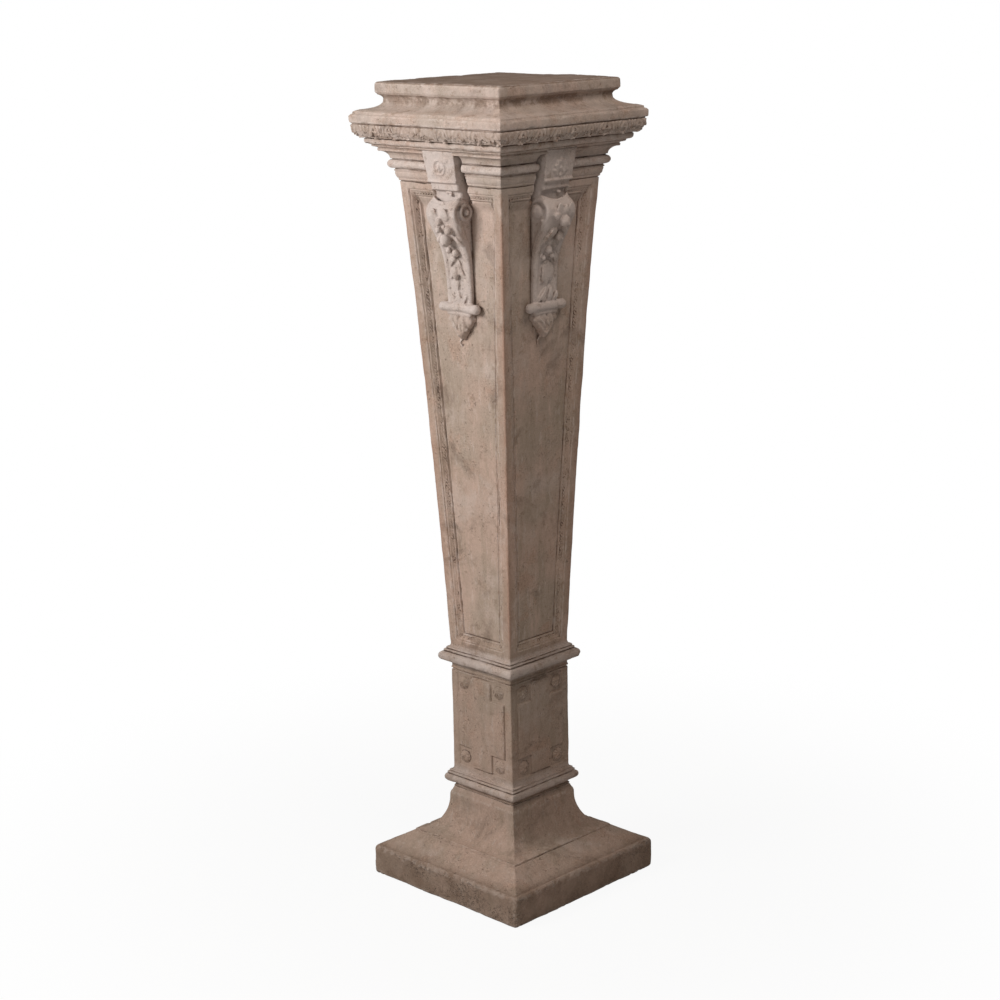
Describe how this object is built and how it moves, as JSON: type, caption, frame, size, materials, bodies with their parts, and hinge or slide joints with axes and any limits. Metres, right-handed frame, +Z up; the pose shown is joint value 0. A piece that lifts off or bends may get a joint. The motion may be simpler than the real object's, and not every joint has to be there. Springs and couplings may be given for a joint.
{
  "type": "tapered square pedestal pillar",
  "caption": "Tapered square pedestal with moulded capital, scroll brackets, sunk panels and a stepped plinth; stands upright and carries a display piece.",
  "frame": {"origin": "centre of the plinth's underside, on the floor", "axes": "+Z up the pillar to the top slab, -Y and +X out of two of the four equal faces"},
  "size_m": [0.3, 0.3, 1.19],
  "materials": {
    "cast_stone": "matt cast stone, warm taupe, with brown stain in the hollows and worn reddish edges"
  },
  "bodies": {
    "root": {"pedestal": "cast_stone"}
  },
  "joints": []
}
